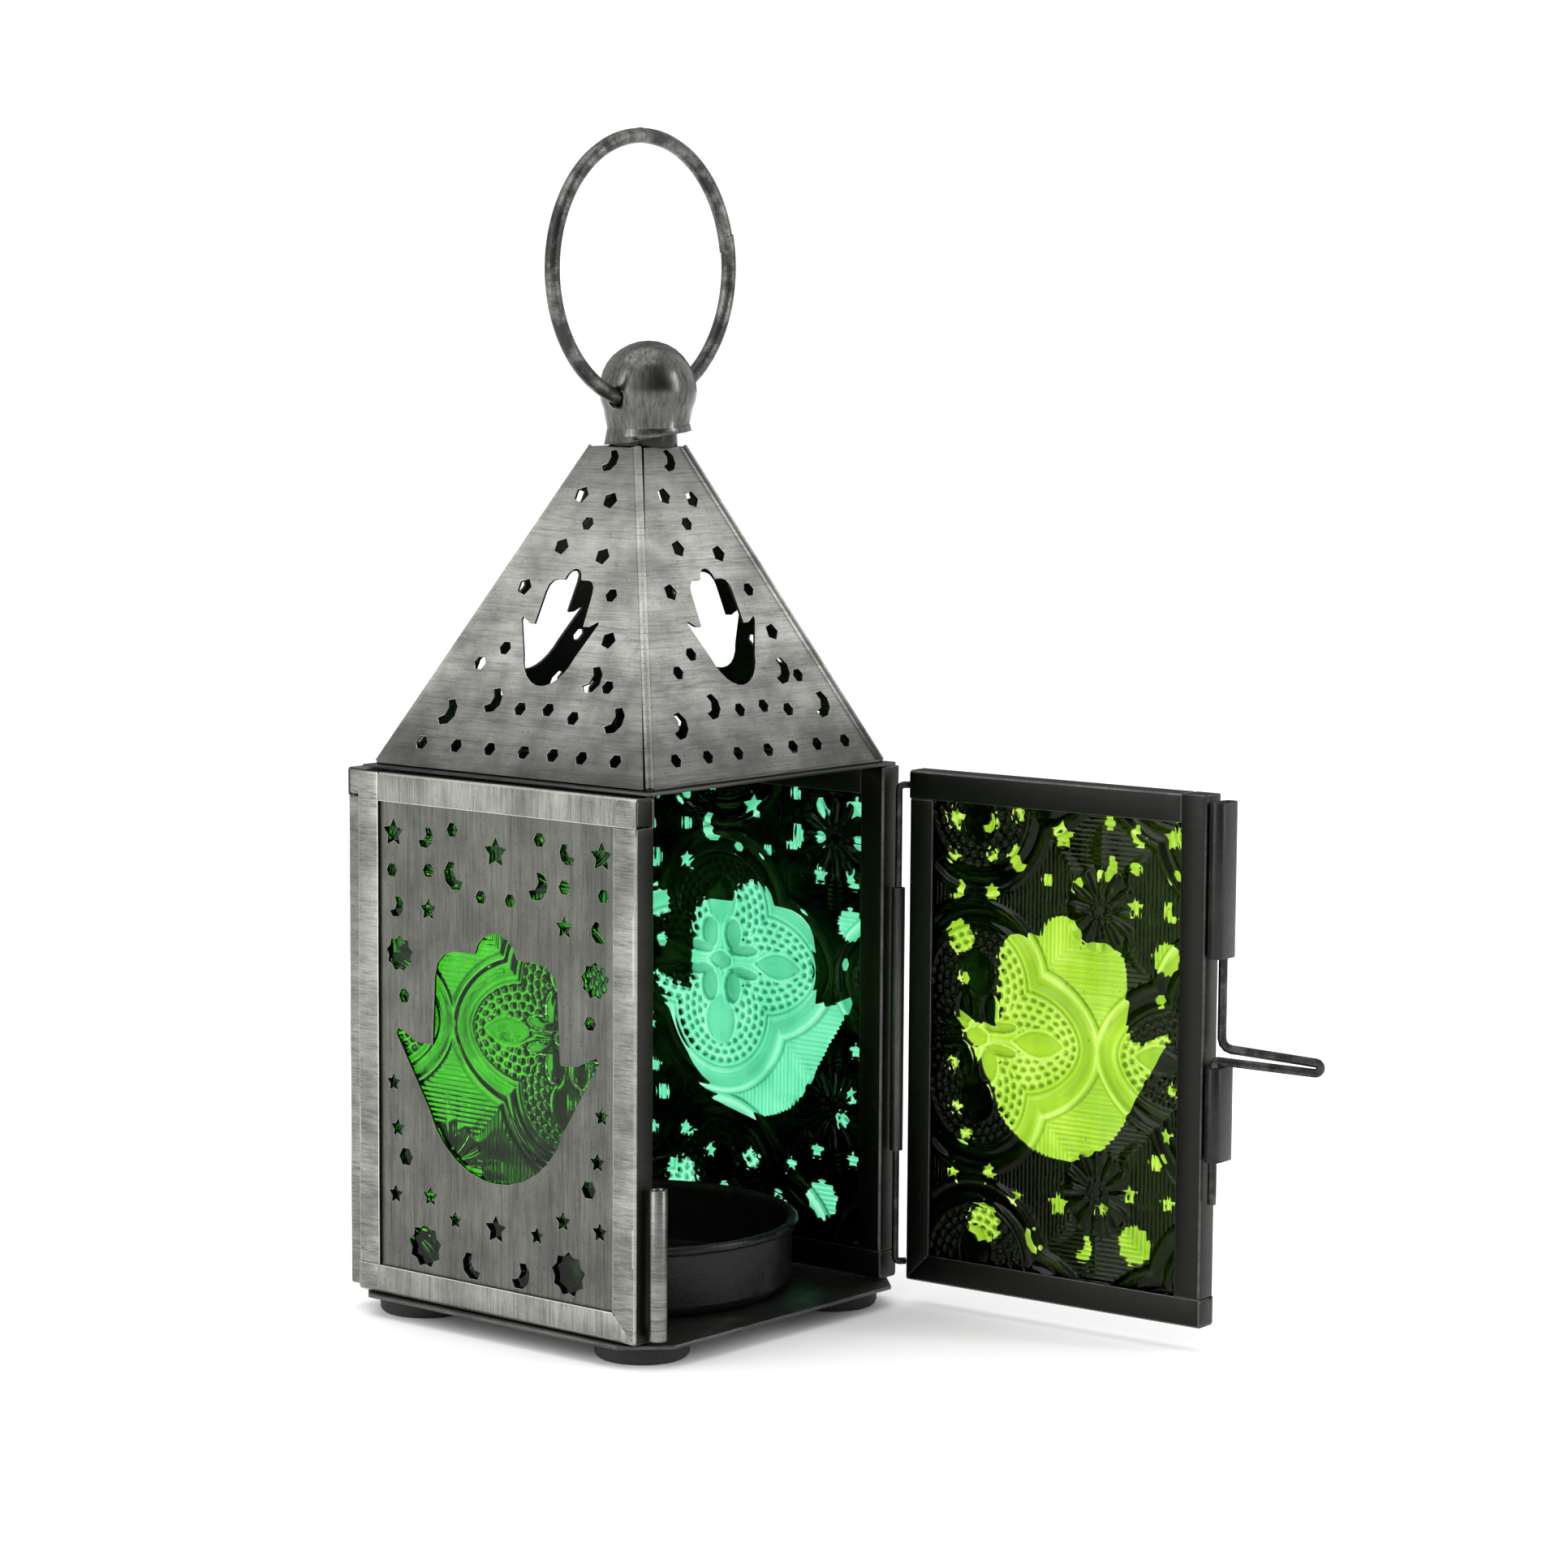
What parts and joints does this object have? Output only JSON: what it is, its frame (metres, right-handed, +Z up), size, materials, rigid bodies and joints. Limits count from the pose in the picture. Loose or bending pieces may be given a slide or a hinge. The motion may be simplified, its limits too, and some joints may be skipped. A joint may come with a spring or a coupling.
{
  "type": "moroccan metal lantern",
  "caption": "Square tealight lantern of pierced tin and coloured pressed glass, with a hinged latched door, a hipped roof, a ball finial and a carry ring.",
  "frame": {"origin": "middle of the footprint with the door open as stored, on the surface that the four pads stand on", "axes": "+Z up; -Y is the doorway, towards which the open door reaches; +X is the hinged side, on the right as one looks into the doorway"},
  "size_m": [0.0606, 0.109, 0.1491],
  "materials": {
    "antique_tin": "antiqued tinplate, brushed across the rails, dark in the folds",
    "pierced_tin": "antiqued tinplate, brushed vertically, with bright burrs round the holes",
    "roof_tin": "antiqued tinplate, brushed, darker at the eaves and hips",
    "dark_tin": "blackened tin, slightly glossy",
    "dark_wire": "drawn wire, blackened and rubbed bright in places",
    "pad_rubber": "matte black rubber",
    "green_glass": "pressed figured glass, stained green",
    "teal_glass": "pressed figured glass, stained blue-green",
    "lime_glass": "pressed figured glass, stained yellow-green"
  },
  "bodies": {
    "lantern_body": {"base_plate": "antique_tin", "front_left_foot": "pad_rubber", "rear_left_foot": "pad_rubber", "front_right_foot": "pad_rubber", "rear_right_foot": "pad_rubber", "tealight_cup": "dark_tin", "left_bottom_rail": "antique_tin", "left_top_rail": "antique_tin", "left_rear_stile": "antique_tin", "left_front_stile": "antique_tin", "left_pierced_sheet": "pierced_tin", "left_glass": "green_glass", "right_bottom_rail": "antique_tin", "right_top_rail": "antique_tin", "right_front_stile": "antique_tin", "right_rear_stile": "antique_tin", "right_pierced_sheet": "pierced_tin", "right_glass": "teal_glass", "rear_bottom_rail": "antique_tin", "rear_top_rail": "antique_tin", "rear_right_stile": "antique_tin", "rear_left_stile": "antique_tin", "rear_pierced_sheet": "pierced_tin", "rear_glass": "green_glass", "top_plate": "antique_tin", "front_roof_panel": "roof_tin", "right_roof_panel": "roof_tin", "rear_roof_panel": "roof_tin", "left_roof_panel": "roof_tin", "finial": "roof_tin", "hinge_barrel": "antique_tin", "latch_keeper": "antique_tin"},
    "door": {"door_bottom_rail": "antique_tin", "door_top_rail": "antique_tin", "door_latch_stile": "antique_tin", "door_hinge_stile": "antique_tin", "door_pierced_sheet": "pierced_tin", "door_glass": "lime_glass", "hinge_pin": "dark_wire", "lower_latch_sleeve": "dark_tin", "upper_latch_sleeve": "dark_tin"},
    "latch": {"latch_bolt": "dark_wire"},
    "ring": {"carry_ring": "dark_wire"}
  },
  "joints": [
    {"name": "door_hinge", "type": "hinge", "parent": "lantern_body", "child": "door", "pos_m": [0.01943, 0.00309, 0], "axis": [0, 0, 1], "range_deg": [-93, 72]},
    {"name": "latch_slide", "type": "slide", "parent": "door", "child": "latch", "axis": [0, 0, 1], "range_m": [0, 0.0095]},
    {"name": "ring_swing", "type": "hinge", "parent": "lantern_body", "child": "ring", "pos_m": [-0.00297, 0.02599, 0.11617], "axis": [0.997, -0.0348, 0.0698], "range_deg": [-140, 145]}
  ]
}
